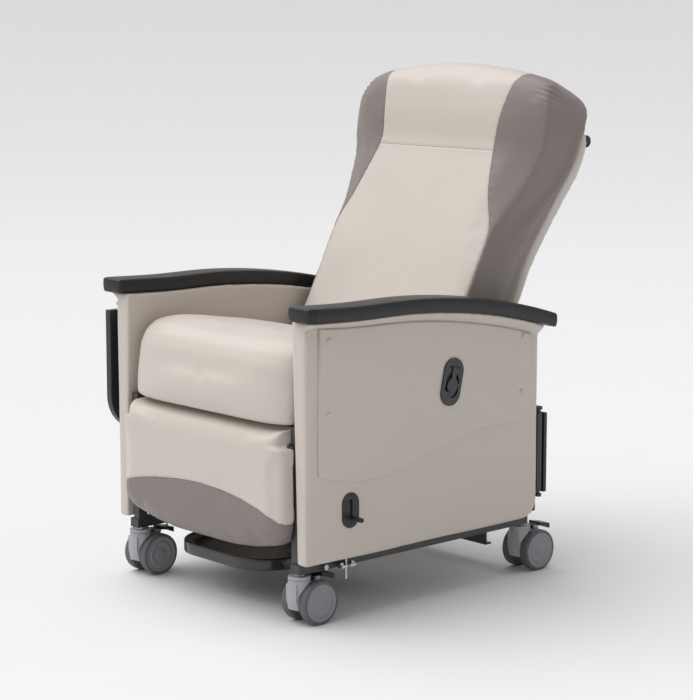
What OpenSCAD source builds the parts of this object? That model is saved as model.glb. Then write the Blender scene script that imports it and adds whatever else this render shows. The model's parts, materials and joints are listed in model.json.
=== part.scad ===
// Patient recliner chair on four twin-wheel casters.
// Both arms swing out, the back reclines with the leg rest, a foot tray slides out.
// +X is the occupant's left, -Y is the front, +Z is up. The floor is Z = 0.
// Local coordinates put Y = 0 midway between the casters; placed() moves them to the middle of the whole.

/* [Overall] */
// Distance from the caster line's middle to the middle of the whole chair, along Y
centre_y = 102.5; // [95:0.5:110]
// Half the distance between the left and right caster stems
stem_x = 294; // [290:1:296]
// Half the distance between the front and rear caster stems
stem_y = 355.5; // [353:0.5:357]

/* [Casters] */
// Radius of each caster wheel
wheel_r = 50; // [48:0.5:50]
// Width of each caster wheel
wheel_w = 22; // [18:1:22]
// Distance that the wheel axle trails behind the stem
caster_trail = 31; // [28:1:32]
// Radius of the caster's round neck
neck_r = 25.5; // [23:0.5:26]

/* [Base frame] */
// Underside of the side rails
rail_z = 117; // [117:0.5:118]
// Height of the side rails
rail_h = 22; // [18:1:22]
// Inner face of the side frames
frame_x = 282; // [281.5:0.5:283]
// Width of the frame's uprights and seat bars
tube_w = 20; // [18:1:20]
// Top of the seat bars
seat_bar_z = 446; // [440:1:446]

/* [Seat] */
// Half the width of the seat cushion
seat_x = 289; // [280:1:290]
// Front face of the seat cushion
seat_front_y = -411; // [-412:1:-405]
// Height of the seat cushion's top at its front
seat_top_z = 640; // [630:1:650]

/* [Leg rest] */
// Half the width of the leg rest
legrest_x = 279; // [276:1:279]
// Radius of the rolled top of the leg rest, about its pivot
legrest_roll = 38; // [36:1:38]
// Height of the leg rest's pivot
legrest_pivot_z = 402; // [400:1:402]

/* [Back] */
// Recline of the back from upright at rest, in degrees
back_lean = 27.2; // [26.5:0.1:28]
// Half the width of the back between the arms
back_x = 278; // [275:1:279]
// Half the width of the back across its wings
wing_x = 334; // [325:1:336]
// Length of the back from its pivot to its top edge
back_len = 826; // [800:1:830]

/* [Arms] */
// Outer face of the arm panels
arm_x = 344; // [343:0.5:345]
// Outer edge of the armrests
armrest_x = 385; // [383:1:386]
// Width of the armrests
armrest_w = 80; // [76:1:82]
// Height of the armrests' top at the front
armrest_z = 722; // [716:1:724]
// Drop of the armrests from front to rear
armrest_drop = 80; // [76:1:82]

/* [Side tray] */
// Depth of the side tray
tray_d = 300; // [260:5:300]
// Length of the side tray
tray_l = 380; // [340:5:380]

/* [Hidden] */
$fn = 64;
BORE_GAP = 0.05;
AWAY = 1000;
CHARCOAL = "#3b3a3c";
BLACK = "#1b1b1c";
CREAM = "#d8cbc0";
TAUPE = "#8d847e";
STEEL = "#b9babb";
CASTER_GREY = "#a3a6aa";
WHEEL_GREY = "#77787c";

// Derived places
wheel_gap = 19;
axle_z = wheel_r;
neck_top = rail_z - 5;
pivot_y = 160;
pivot_z = 440;
crank_y = 175;
crank_z = 382;
lever_n = (crank_z - pivot_z) * sin(back_lean) - (crank_y - pivot_y) * cos(back_lean);
lever_u = (crank_y - pivot_y) * sin(back_lean) + (crank_z - pivot_z) * cos(back_lean);
legrest_y = seat_front_y + 1 + legrest_roll;
hinge_x = 338;
hinge_y = 372;
armrest_front = -396;
armrest_rear = 374;
armrest_t = 34;
latch_x = 330;
latch_y = -248;
lever_z = 235;
handle_y = 62;
handle_z = 507;
handle_tilt = 12;
tray_axis_x = -360;
tray_hinges = [-286, -66];
tray_axis_z = 645;
tray_front = -383;
front_tube_y = -300;
cylinder_y = -287;
cylinder_z = 395;
cushion_rear_n = -27;
leaf_bolts = [230, 298, 367];
shell_n = -42;
corner_r = 66;
shell_r = 85;
shell_round_n = 10;
bar_n = -121;
bar_u = 729;

// Helpers
module placed() translate([0, -centre_y, 0]) children();
module sided(s) mirror([s < 0 ? 1 : 0, 0, 0]) children();
// A box given by its low and high corners
module box(a, b) translate(a) cube([b[0] - a[0], b[1] - a[1], b[2] - a[2]]);
// A rod along X between x0 and x1
module rod_x(x0, x1, y, z, r) translate([x0, y, z]) rotate([0, 90, 0]) cylinder(r = r, h = x1 - x0);
// A rod along Y between y0 and y1
module rod_y(x, z, y0, y1, r) translate([x, y0, z]) rotate([-90, 0, 0]) cylinder(r = r, h = y1 - y0);
// A rod along Z between z0 and z1
module rod_z(x, y, z0, z1, r) translate([x, y, z0]) cylinder(r = r, h = z1 - z0);
// A YZ outline stretched along X from x0 to x1
module yz_plate(x0, x1) translate([x0, 0, 0]) rotate([90, 0, 90]) linear_extrude(x1 - x0) children();
// An XZ outline stretched along Y from y0 to y1
module xz_plate(y0, y1) translate([0, y1, 0]) rotate([90, 0, 0]) linear_extrude(y1 - y0) children();
// Rectangle with its four corners rounded
module round_rect(w, h, r) union() {
    translate([r, 0]) square([w - 2 * r, h]);
    translate([0, r]) square([w, h - 2 * r]);
    for (x = [r, w - r], y = [r, h - r]) translate([x, y]) circle(r);
}
// Back coordinates: X stays, Y becomes distance forward of the pivot, Z becomes distance up the back
module on_back() translate([0, pivot_y, pivot_z]) rotate([-back_lean, 0, 0]) mirror([0, 1, 0]) children();
// Caster n is 1 front left, 2 front right, 3 rear left, 4 rear right
function stem_at(n) = [n % 2 == 1 ? stem_x : -stem_x, n < 3 ? -stem_y : stem_y, 0];
// Height of the armrest's top at a place along the arm
function armrest_top(y) = armrest_z - armrest_drop * pow((y - armrest_front) / (armrest_rear - armrest_front), 3);
// Lower edge of the side cover, one slow wave
function cover_wave(y) = 351 - 36 * cos(180 * (y + 160) / 370);

// Base frame
module side_frame(s) color(CHARCOAL) placed() sided(s) difference() {
    union() {
        box([frame_x, -371, rail_z], [frame_x + 30, 364, rail_z + rail_h]);
        box([frame_x, -368, rail_z + rail_h], [frame_x + tube_w, -343, seat_bar_z]);
        box([frame_x, 130, rail_z + rail_h], [frame_x + tube_w, 155, seat_bar_z]);
        box([frame_x, -368, seat_bar_z - 24], [frame_x + tube_w, 160, seat_bar_z]);
        rod_x(frame_x, frame_x + 8, pivot_y, pivot_z, 20);
        rod_x(frame_x, frame_x + 6, legrest_y, legrest_pivot_z, 9);
        box([frame_x, legrest_y, legrest_pivot_z - 9], [frame_x + 6, -343, legrest_pivot_z + 9]);
    }
    rod_x(frame_x - 1, frame_x + tube_w + 1, pivot_y, pivot_z, 8 + BORE_GAP);
    rod_x(frame_x - 1, frame_x + tube_w + 1, legrest_y, legrest_pivot_z, 5 + BORE_GAP);
    rod_z(stem_x, -stem_y, rail_z - 1, rail_z + rail_h - 2, 6 + BORE_GAP);
    rod_z(stem_x, stem_y, rail_z - 1, rail_z + rail_h - 2, 6 + BORE_GAP);
}
module side_frame_left() side_frame(1);
module side_frame_right() side_frame(-1);
module front_cross_tube() color(CHARCOAL) placed() {
    box([-frame_x, front_tube_y, seat_bar_z - 24], [frame_x, front_tube_y + 25, seat_bar_z]);
    difference() {
        box([-20, cylinder_y - 12, cylinder_z - 12], [20, cylinder_y + 12, seat_bar_z - 24]);
        box([-13, cylinder_y - 13, cylinder_z - 13], [13, cylinder_y + 13, seat_bar_z - 30]);
        rod_x(-21, 21, cylinder_y, cylinder_z, 5 + BORE_GAP);
    }
}
module middle_cross_tube() color(CHARCOAL) placed()
    box([-frame_x, 62, rail_z], [frame_x, 84, rail_z + rail_h]);
module rear_cross_tube() color(CHARCOAL) placed()
    box([-frame_x, 335, rail_z], [frame_x, 357, rail_z + rail_h]);
module rear_cross_panel() color(CHARCOAL) placed() {
    box([-198, 336, 46], [198, 340, rail_z]);
    box([-198, 340, 46], [198, 356, 50]);
}
// Two flat bars that hang from the front cross tube and carry the foot tray
module tray_rails() color(CHARCOAL) placed() for (s = [-1, 1]) sided(s) {
    box([150, front_tube_y, 121], [156, 62, 133]);
    box([150, front_tube_y, 133], [156, front_tube_y + 20, seat_bar_z - 24]);
}
// Pins on which the back and the leg rest turn
module pivot_pins() color(STEEL) placed() for (s = [-1, 1]) sided(s) {
    rod_x(263, frame_x + 14, pivot_y, pivot_z, 8);
    rod_x(249, frame_x + 10, legrest_y, legrest_pivot_z, 5);
}
module caster_stems() color(STEEL) placed() for (n = [1:4]) translate(stem_at(n)) {
    rod_z(0, 0, 88, rail_z + rail_h - 3, 6);
    rod_z(0, 0, neck_top + 1, rail_z, 14);
}

// Swing-arm hinge: post, cover and latch keeper on the base
module hinge_post(s) color(CHARCOAL) placed() sided(s) difference() {
    union() {
        box([294, 367, 145], [312, 390, 409]);
        box([286, 320, rail_z + rail_h], [310, 367, 165]);
        for (z = [188, 402]) {
            box([312, 367, z], [hinge_x, 380, z + 7]);
            rod_z(hinge_x, hinge_y, z, z + 7, 8);
        }
    }
    rod_z(hinge_x, hinge_y, 180, 420, 4 + BORE_GAP);
}
module hinge_post_left() hinge_post(1);
module hinge_post_right() hinge_post(-1);
module hinge_cover(s) color(BLACK) placed() sided(s) difference() {
    union() {
        box([290, 366, 196.5], [327, 386, 400.5]);
        box([290, 386, 196.5], [342, 397, 392]);
    }
    box([293.5, 366.5, 196], [312.5, 390.5, 401]);
}
module hinge_cover_left() hinge_cover(1);
module hinge_cover_right() hinge_cover(-1);
// Fork that holds the latch rod; its outer side is open
module latch_keeper(s) color(STEEL) placed() sided(s) {
    difference() {
        box([frame_x + 30, latch_y - 22, 121], [341, latch_y + 22, 127]);
        box([latch_x - 4, latch_y - 4, 120], [342, latch_y + 4, 128]);
    }
    for (y = [-16, 16]) rod_z(334, latch_y + y, 127, 132, 4.5);
    rod_x(frame_x + 30, 330, latch_y - 58, 128, 6);
}
module latch_keeper_left() latch_keeper(1);
module latch_keeper_right() latch_keeper(-1);

// Seat
module seat_board() color("tan") placed() box([-279, -325, seat_bar_z], [279, 44, seat_bar_z + 12]);
module seat_cushion() color(CREAM) placed() intersection() {
    yz_plate(-seat_x, seat_x) union() {
        polygon([[seat_front_y + 12, 449], [-330, 449], [-330, 460], [48, 460], [102, seat_top_z - 89],
            [-350, seat_top_z], [seat_front_y + 30, seat_top_z - 8], [seat_front_y, seat_top_z - 55],
            [seat_front_y, 470]]);
        translate([seat_front_y + 46, seat_top_z - 46]) circle(46);
        translate([seat_front_y + 21, 470]) circle(21);
    }
    translate([-seat_x, seat_front_y, 440]) linear_extrude(230) round_rect(2 * seat_x, 560, 40);
}

// Recline mechanism
module gas_cylinder() color(BLACK) placed() difference() {
    union() {
        rod_y(0, cylinder_z, cylinder_y + 5, cylinder_y + 250, 11);
        rod_x(-12, 12, cylinder_y, cylinder_z, 14);
        rod_x(-26, 26, cylinder_y, cylinder_z, 5);
    }
    rod_y(0, cylinder_z, -180, 20, 5 + BORE_GAP);
}
module gas_rod() color(STEEL) placed() difference() {
    union() {
        rod_y(0, cylinder_z, -90, 161, 5);
        box([-4, 150, crank_z - 8], [4, 166, cylinder_z + 5]);
        rod_x(-4, 4, crank_y, crank_z, 18);
    }
    rod_x(-5, 5, crank_y, crank_z, 12);
}
module drive_link(s) color(STEEL) placed() sided(s) difference() {
    union() {
        yz_plate(258, 263) polygon([[-354, 368], [-354, 384], [crank_y, crank_z + 8], [crank_y, crank_z - 8]]);
        rod_x(258, 263, crank_y, crank_z, 12);
        rod_x(258, 263, -354, 376, 13);
    }
    rod_x(257, 264, crank_y, crank_z, 4 + BORE_GAP);
    rod_x(257, 264, -354, 376, 9);
}
module drive_link_left() drive_link(1);
module drive_link_right() drive_link(-1);

// Leg rest
module legrest_frame() color(CHARCOAL) placed() {
    difference() {
        box([-248, -334, 190], [248, -326, 400]);
        for (x = [-130, 130]) box([x - 90, -335, 230], [x + 90, -325, 360]);
    }
    for (s = [-1, 1]) sided(s) difference() {
        union() {
            rod_x(250.5, 256.5, legrest_y, legrest_pivot_z, 14);
            box([250.5, legrest_y - 2, 340], [256.5, -326, legrest_pivot_z - 6]);
            box([240, -334, 340], [256.5, -326, legrest_pivot_z - 6]);
            rod_x(250.5, 264, -354, 376, 4);
        }
        rod_x(250, 257, legrest_y, legrest_pivot_z, 5 + BORE_GAP);
    }
}
// Lower edge of the leg rest, curved up to its corners
function legrest_edge(x) = 147 + 78 * pow(abs(x) / legrest_x, 3.2);
module legrest_cushion() color(CREAM) placed() difference() {
    intersection() {
        yz_plate(-legrest_x, legrest_x) union() {
            translate([legrest_y, legrest_pivot_z]) circle(legrest_roll);
            polygon([[legrest_y - legrest_roll, legrest_pivot_z], [legrest_y - legrest_roll, 190],
                [legrest_y - 28, 155], [legrest_y - 5, 147], [-336, 147], [-335, legrest_pivot_z]]);
        }
        xz_plate(-430, -320) polygon(concat([[legrest_x, 450], [-legrest_x, 450]],
            [for (i = [-12:12]) [i / 12 * legrest_x, legrest_edge(i / 12 * legrest_x)]]));
    }
    for (s = [-1, 1]) sided(s) {
        box([249, -393, 330], [271, -320, 450]);
        rod_x(248, 290, legrest_y, legrest_pivot_z, 7);
    }
}

// Foot tray: a board with a front lip that slides out on two hooks
module foot_tray() color(BLACK) placed() {
    tray_top = 115.5;
    translate([0, 0, tray_top - 12]) linear_extrude(12) polygon([[-185, 20], [-185, -290], [-157, -345],
        [-118, -381], [118, -381], [157, -345], [185, -290], [185, 20]]);
    box([-118, -381, 96], [118, -372, tray_top - 12]);
    for (s = [-1, 1]) sided(s) {
        box([158, -60, tray_top], [161, 0, 136]);
        box([150, -60, 133.5], [161, 0, 136]);
    }
}

// Back, drawn in its own leaning coordinates
module back_plate(s) sided(s) difference() {
    translate([264.5, 0, 0]) rotate([90, 0, 90]) linear_extrude(6) hull() {
        circle(16, $fn = 32);
        translate([lever_n, lever_u]) circle(12, $fn = 32);
        translate([-35, 60]) circle(6, $fn = 32);
    }
    rod_x(264, 271, 0, 0, 8 + BORE_GAP);
}
module back_frame() color(CHARCOAL) placed() on_back() {
    for (s = [-1, 1]) {
        back_plate(s);
        sided(s) rod_x(257.5, 264.5, lever_n, lever_u, 4);
    }
    difference() {
        box([-264.5, -40, -24], [264.5, -28, 690]);
        for (x = [-125, 125], z = [150, 420]) box([x - 85, -41, z - 100], [x + 85, -27, z + 100]);
    }
    for (s = [-1, 1]) sided(s) {
        rod_x(8, 16, lever_n, lever_u, 12);
        box([8, -44, lever_u], [16, -30, -20]);
    }
    rod_x(-16, 16, lever_n, lever_u, 5);
}
// Half the width of the back at a distance up from the pivot
function back_half(u) = back_x + (wing_x - back_x) * (u < 380 ? 0 : u > 640 ? 1 : (1 - cos(180 * (u - 380) / 260)) / 2);
// Height of the back's top edge at a distance from the middle
function back_top(x) = back_len - 44 * pow(abs(x) / 300, 2);
// Centre of the rounded top corner of each wing
function wing_corner_x() = wing_x - corner_r;
function wing_corner_u() = back_top(wing_x - corner_r) - corner_r;
// Front outline of the back: straight between the arms, wider at the wings, domed at the top
module back_outline() polygon(concat(
    [[-back_x, -26], [back_x, -26]],
    [for (u = [380:26:700]) [back_half(u), u]],
    [for (a = [0:15:75]) [wing_corner_x() + corner_r * cos(a), wing_corner_u() + corner_r * sin(a)]],
    [for (x = [250:-50:-250]) [x, back_top(x)]],
    [for (a = [75:-15:0]) [-wing_corner_x() - corner_r * cos(a), wing_corner_u() + corner_r * sin(a)]],
    [for (u = [692:-26:380]) [-back_half(u), u]]));
// Half the width of the light centre panel
function centre_half(u) = u < 380 ? back_x : 197 + 81 * pow(max(0, (640 - u) / 260), 1.6) + 0.17 * max(0, u - 640);
module centre_outline() polygon(concat(
    [[-back_x - 30, -40], [back_x + 30, -40], [back_x + 30, 379]],
    [for (u = [380:40:860]) [centre_half(u), u]],
    [for (u = [860:-40:380]) [-centre_half(u), u]],
    [[-back_x - 30, 379]]));
// Side outline of the padding: flat, then fuller at the head
module padding_profile() polygon(concat(
    [[cushion_rear_n, -26], [94, -26], [94, 580]],
    [for (a = [0:15:90]) [94 + 36 * (1 - cos(a)) , 580 + 150 * sin(a)]],
    [for (a = [0:15:75]) [85 + 45 * cos(a), 775 + 51 * sin(a)]],
    [for (a = [90:-12:54]) [40 - 115 * cos(a), 711 + 115 * sin(a)]],
    [[cushion_rear_n, 792]]));
module back_padding() difference() {
    intersection() {
        yz_plate(-AWAY / 2, AWAY / 2) padding_profile();
        xz_plate(-100, 200) back_outline();
    }
    for (s = [-1, 1]) sided(s) {
        box([263, -40, -40], [272, 20, 70]);
        rod_x(262, 290, 0, 0, 10);
    }
}
module back_cushion() color(CREAM) placed() on_back() intersection() {
    back_padding();
    xz_plate(-100, 200) centre_outline();
}
module back_wing(s) color(TAUPE) placed() on_back() intersection() {
    difference() {
        back_padding();
        xz_plate(-120, 220) centre_outline();
    }
    sided(s) box([0, -200, -100], [AWAY, 300, AWAY]);
}
module back_wing_left() back_wing(1);
module back_wing_right() back_wing(-1);
// Side outline of the rear shell, rounded over at its top
module shell_profile() polygon(concat(
    [[shell_n, -26], [shell_n, 767]],
    [for (a = [50:-10:0]) [shell_round_n - shell_r * cos(a), 700 + shell_r * sin(a)]],
    [[shell_round_n - shell_r, -26]]));
module back_shell() color(CREAM) placed() on_back() difference() {
    intersection() {
        yz_plate(-AWAY / 2, AWAY / 2) shell_profile();
        xz_plate(-100, shell_n) back_outline();
    }
    box([-20, -80, -30], [20, -40, -10]);
    for (s = [-1, 1]) sided(s) box([263, -60, -30], [272, -41, 60]);
}
module push_bar() color(BLACK) placed() on_back() {
    rod_x(-272, 272, bar_n, bar_u, 15);
    for (x = [-190, 190]) rod_y(x, 690, bar_n - 8, shell_round_n - shell_r - 0.3, 9);
    for (x = [-190, 190]) box([x - 9, bar_n - 8, 690], [x + 9, bar_n + 8, bar_u]);
}

// Arms
module arm_profile(top_gap) polygon(concat(
    [[-379, 141], [316, 141]],
    [for (a = [-75:15:0]) [316 + 45 * cos(a), 186 + 45 * sin(a)]],
    [for (y = [361:-37:-379]) [y, armrest_top(y) - armrest_t - top_gap]]));
module arm_panel(s) color(CREAM) placed() sided(s) difference() {
    intersection() {
        yz_plate(290, arm_x) arm_profile(0.3);
        xz_plate(-400, 400) polygon([[arm_x, 140], [314, 140], [298, 700], [arm_x, 700]]);
    }
    box([319, -368, 148], [339, 352, 606]);
    for (z = leaf_bolts) rod_y(329, z, 345, 363, 5.5);
    rod_z(latch_x, latch_y, 130, 150, 4);
    box([338, latch_y - 6, 222], [345, latch_y + 6, 284]);
    if (s > 0) handle_frame() cylinder(r = 24, h = 60, center = true);
}
module arm_panel_left() arm_panel(1);
module arm_panel_right() arm_panel(-1);
// Steel frame inside the arm, with the hinge leaf, barrel and pin at its rear
module arm_frame(s) color(CHARCOAL) placed() sided(s) difference() {
    union() {
        difference() {
            box([321, -366, 150], [337, 350, 604]);
            box([320, -346, 170], [338, 330, 584]);
        }
        for (z = leaf_bolts) rod_y(329, z, 348, 362, 5);
        box([308, 361.2, 205], [344, 364.2, 392]);
        box([333, 362, 205], [343, hinge_y, 392]);
        rod_z(hinge_x, hinge_y, 205, 392, 7);
        rod_z(hinge_x, hinge_y, 190, 407, 4);
    }
    rod_z(latch_x, latch_y, 149, 171, 3 + BORE_GAP);
}
module arm_frame_left() arm_frame(1);
module arm_frame_right() arm_frame(-1);
module armrest(s) color(BLACK) placed() sided(s) intersection() {
    yz_plate(armrest_x - armrest_w, armrest_x) polygon(concat(
        [for (y = [armrest_front:55:armrest_rear]) [y, armrest_top(y)]],
        [for (y = [armrest_rear:-55:armrest_front]) [y, armrest_top(y) - armrest_t]]));
    translate([armrest_x - armrest_w, armrest_front, 500]) linear_extrude(300)
        round_rect(armrest_w, armrest_rear - armrest_front, 26);
}
module armrest_left() armrest(1);
module armrest_right() armrest(-1);
module side_cover(s) color(CREAM) placed() sided(s) difference() {
    yz_plate(arm_x + 0.2, arm_x + 4) polygon(concat(
        [for (y = [-343:30:287]) [y, cover_wave(min(y, 210))]],
        [for (a = [-75:15:0]) [287 + 45 * cos(a), 432 + 45 * sin(a)]],
        [for (y = [332:-45:-343]) [y, armrest_top(y) - armrest_t - 16]]));
    if (s > 0) handle_frame() cylinder(r = 24, h = 60, center = true);
}
module side_cover_left() side_cover(1);
module side_cover_right() side_cover(-1);
module cover_screws(s) color(CREAM) placed() sided(s)
    for (p = [[-315, 639], [304, 589], [299, 455], [-318, 475]]) rod_x(arm_x + 4, arm_x + 6.5, p[0], p[1], 6.5);
module cover_screws_left() cover_screws(1);
module cover_screws_right() cover_screws(-1);

// Arm latch: plate with a slot, and the lever with its rod
module latch_plate(s) color(BLACK) placed() sided(s) difference() {
    union() {
        rod_x(arm_x, arm_x + 3, latch_y, 252 + 15.5, 25);
        rod_x(arm_x, arm_x + 3, latch_y, 252 - 15.5, 25);
        box([arm_x, latch_y - 25, 252 - 15.5], [arm_x + 3, latch_y + 25, 252 + 15.5]);
        for (z = [221, 285]) rod_x(arm_x + 3, arm_x + 4.5, latch_y, z, 3.5);
    }
    box([arm_x - 1, latch_y - 4.5, 229], [arm_x + 6, latch_y + 4.5, 276]);
}
module latch_plate_left() latch_plate(1);
module latch_plate_right() latch_plate(-1);
module latch_lever(s) color(STEEL) placed() sided(s) {
    rod_z(latch_x, latch_y, 92, 240, 3);
    rod_x(latch_x, 360, latch_y, lever_z, 3.5);
    rod_x(360, 384, latch_y, lever_z, 5);
}
module latch_lever_left() latch_lever(1);
module latch_lever_right() latch_lever(-1);

// Recline handle: dished bezel and hinged paddle on the left arm
module handle_frame() translate([arm_x, handle_y, handle_z]) rotate([-handle_tilt, 0, 0]) rotate([0, 90, 0]) children();
module handle_oval(k) scale([k, k]) union() {
    translate([25, 0]) circle(31);
    translate([-25, 0]) circle(31);
    translate([-25, -31]) square([50, 62]);
}
module recline_bezel() color(BLACK) placed() handle_frame() difference() {
    union() {
        translate([0, 0, 4.1]) linear_extrude(5) handle_oval(1);
        translate([0, 0, -17]) cylinder(r = 23.5, h = 22);
    }
    translate([0, 0, -14]) cylinder(r = 21, h = 30);
    translate([16, 0, 5.5]) cylinder(r = 22, h = 10);
    translate([-34, 0, 4.5]) rotate([90, 0, 0]) cylinder(r = 5.2, h = 33, center = true);
    translate([-36, -8, 5.9]) cube([36, 16, 10]);
}
module recline_paddle() color(BLACK) placed() handle_frame() {
    translate([-34, 0, 6.8]) rotate([90, 0, 0]) cylinder(r = 2.4, h = 30, center = true);
    translate([-34, -7, 6.6]) cube([32, 14, 5]);
    translate([8, 0, 6.6]) cylinder(r = 17, h = 5);
}

// Side tray on the right arm, hanging folded
module tray_brackets() color(CHARCOAL) placed() for (y = tray_hinges) difference() {
    union() {
        box([-arm_x - 8, y - 20, 622], [-arm_x - 4, y + 20, 660]);
        box([tray_axis_x, y - 7, tray_axis_z - 8], [-arm_x - 4, y + 7, tray_axis_z + 8]);
        translate([tray_axis_x, y + 7, tray_axis_z]) rotate([90, 0, 0]) cylinder(r = 8, h = 14);
    }
    translate([tray_axis_x, y + 8, tray_axis_z]) rotate([90, 0, 0]) cylinder(r = 4 + BORE_GAP, h = 16);
}
module side_tray() color(BLACK) placed() {
    difference() {
        yz_plate(-384, -366) union() {
            translate([tray_front, 640 - tray_d + 90]) square([tray_l, tray_d - 90]);
            translate([tray_front + 90, 640 - tray_d]) square([tray_l - 180, 100]);
            for (y = [tray_front + 90, tray_front + tray_l - 90]) translate([y, 640 - tray_d + 90]) circle(90);
        }
        for (y = tray_hinges) box([-385, y - 8, 625], [-365, y + 8, 650]);
    }
    for (y = tray_hinges) {
        for (d = [-14, 8]) {
            translate([tray_axis_x, y + d + 6, tray_axis_z]) rotate([90, 0, 0]) cylinder(r = 6.5, h = 6);
            box([-370, y + d, tray_axis_z - 12], [tray_axis_x, y + d + 6, tray_axis_z]);
        }
        translate([tray_axis_x, y + 14, tray_axis_z]) rotate([90, 0, 0]) cylinder(r = 4, h = 28);
    }
}

// Casters
module caster_body(n) color(CASTER_GREY) placed() translate(stem_at(n)) difference() {
    union() {
        difference() {
            union() {
                rod_z(0, 0, 38, neck_top, neck_r);
                yz_plate(-17, 17) polygon([[-18, 36], [-24, 60], [-24, 95.5], [48, 95.5], [52, 88], [44, 36]]);
            }
            for (s = [-1, 1]) sided(s) rod_x(18, 60, caster_trail, axle_z, wheel_r + 2);
            rod_z(0, 0, 104, 106, neck_r + 5);
        }
        rod_z(0, 0, 100, 108, neck_r - 1.5);
        rod_x(-38.5, 38.5, caster_trail, axle_z, 6);
        for (s = [-1, 1]) sided(s) box([13, 34, 90], [17, 48, 106]);
        rod_x(-17, 17, 42, 101, 2.5);
    }
    rod_z(0, 0, 84, neck_top + 1, 6 + BORE_GAP);
}
module caster_body_1() caster_body(1);
module caster_body_2() caster_body(2);
module caster_body_3() caster_body(3);
module caster_body_4() caster_body(4);
module twin_wheels(n) color(WHEEL_GREY) placed() translate(stem_at(n)) for (s = [-1, 1]) sided(s)
    translate([wheel_gap, caster_trail, axle_z]) rotate([0, 90, 0]) difference() {
        union() {
            cylinder(r = wheel_r, h = wheel_w - 3);
            cylinder(r = wheel_r - 4, h = wheel_w);
        }
        translate([0, 0, -1]) cylinder(r = 6 + BORE_GAP, h = wheel_w - 1);
        translate([0, 0, -1]) cylinder(r = wheel_r - 14, h = 5);
    }
module twin_wheels_1() twin_wheels(1);
module twin_wheels_2() twin_wheels(2);
module twin_wheels_3() twin_wheels(3);
module twin_wheels_4() twin_wheels(4);
module brake_pedal(n) color(BLACK) placed() translate(stem_at(n)) difference() {
    union() {
        rod_x(-12, 12, 42, 101, 4.8);
        yz_plate(-12, 12) polygon([[42, 96.6], [42, 105.8], [54, 109], [54, 98]]);
        yz_plate(-18, 18) polygon([[53, 103.5], [52, 112], [88, 105], [88, 92], [70, 101]]);
    }
    rod_x(-13, 13, 42, 101, 2.5 + BORE_GAP);
}
module brake_pedal_1() brake_pedal(1);
module brake_pedal_2() brake_pedal(2);
module brake_pedal_3() brake_pedal(3);
module brake_pedal_4() brake_pedal(4);

side_frame_left();
side_frame_right();
front_cross_tube();
middle_cross_tube();
rear_cross_tube();
rear_cross_panel();
tray_rails();
pivot_pins();
caster_stems();
hinge_post_left();
hinge_post_right();
hinge_cover_left();
hinge_cover_right();
latch_keeper_left();
latch_keeper_right();
seat_board();
seat_cushion();
gas_cylinder();
gas_rod();
drive_link_left();
drive_link_right();
legrest_frame();
legrest_cushion();
foot_tray();
back_frame();
back_cushion();
back_wing_left();
back_wing_right();
back_shell();
push_bar();
arm_panel_left();
arm_panel_right();
arm_frame_left();
arm_frame_right();
armrest_left();
armrest_right();
side_cover_left();
side_cover_right();
cover_screws_left();
cover_screws_right();
latch_plate_left();
latch_plate_right();
latch_lever_left();
latch_lever_right();
recline_bezel();
recline_paddle();
tray_brackets();
side_tray();
caster_body_1();
caster_body_2();
caster_body_3();
caster_body_4();
twin_wheels_1();
twin_wheels_2();
twin_wheels_3();
twin_wheels_4();
brake_pedal_1();
brake_pedal_2();
brake_pedal_3();
brake_pedal_4();
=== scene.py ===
import json
import math
import bpy
import bmesh
import numpy as np
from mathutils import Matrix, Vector
from mathutils.bvhtree import BVHTree

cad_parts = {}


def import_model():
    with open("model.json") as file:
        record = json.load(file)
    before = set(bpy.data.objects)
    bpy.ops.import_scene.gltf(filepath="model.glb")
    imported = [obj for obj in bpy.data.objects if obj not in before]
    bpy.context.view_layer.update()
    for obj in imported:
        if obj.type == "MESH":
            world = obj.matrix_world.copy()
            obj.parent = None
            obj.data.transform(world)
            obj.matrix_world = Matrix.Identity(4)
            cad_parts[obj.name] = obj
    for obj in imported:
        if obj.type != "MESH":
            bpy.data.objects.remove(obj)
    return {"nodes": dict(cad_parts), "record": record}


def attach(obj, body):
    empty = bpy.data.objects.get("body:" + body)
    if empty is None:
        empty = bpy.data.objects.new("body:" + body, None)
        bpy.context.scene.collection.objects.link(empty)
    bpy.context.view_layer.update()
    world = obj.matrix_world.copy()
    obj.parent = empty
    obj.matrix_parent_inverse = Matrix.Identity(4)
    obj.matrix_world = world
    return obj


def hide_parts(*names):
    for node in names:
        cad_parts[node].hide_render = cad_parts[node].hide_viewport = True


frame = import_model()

bl_info = {
    "name": "Patient recliner chair",
    "version": (1, 0, 0),
    "blender": (4, 5, 0),
    "location": "View3D > Sidebar > Recliner",
    "description": "Builds an upholstered medical recliner over its mechanical frame",
    "category": "Object",
}

# Lengths below are in millimetres, with Y measured from the middle of the caster line
CENTRE_Y = 102.5
# The back turns about this line, and leans by LEAN at rest
BACK_PIVOT_Y, BACK_PIVOT_Z = 160, 440
LEAN = math.radians(27.2)
SIN_LEAN = math.sin(LEAN)
COS_LEAN = math.cos(LEAN)
# The leg rest turns about this line
LEGREST_Y, LEGREST_Z = -372, 402
LEGREST_HALF, LEGREST_REAR = 279, -336
# Armrests: height at the front, depth, middle across and half width
ARMREST_Z, ARMREST_DEPTH, ARMREST_X, ARMREST_HALF = 722, 34, 345, 40
# Outer face of the arm panels
PANEL_X = 344
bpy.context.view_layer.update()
MATERIALS = {}


# Coordinates and mesh helpers
def world(points):
    a = np.array(points, float).reshape(-1, 3).copy()
    a[:, 1] -= CENTRE_Y
    return a / 1000


def read(obj):
    a = np.empty(len(obj.data.vertices) * 3)
    obj.data.vertices.foreach_get("co", a)
    a = a.reshape(-1, 3) * 1000
    a[:, 1] += CENTRE_Y
    return a


def write(obj, a):
    obj.data.vertices.foreach_set("co", world(a).ravel())
    obj.data.update()


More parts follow.
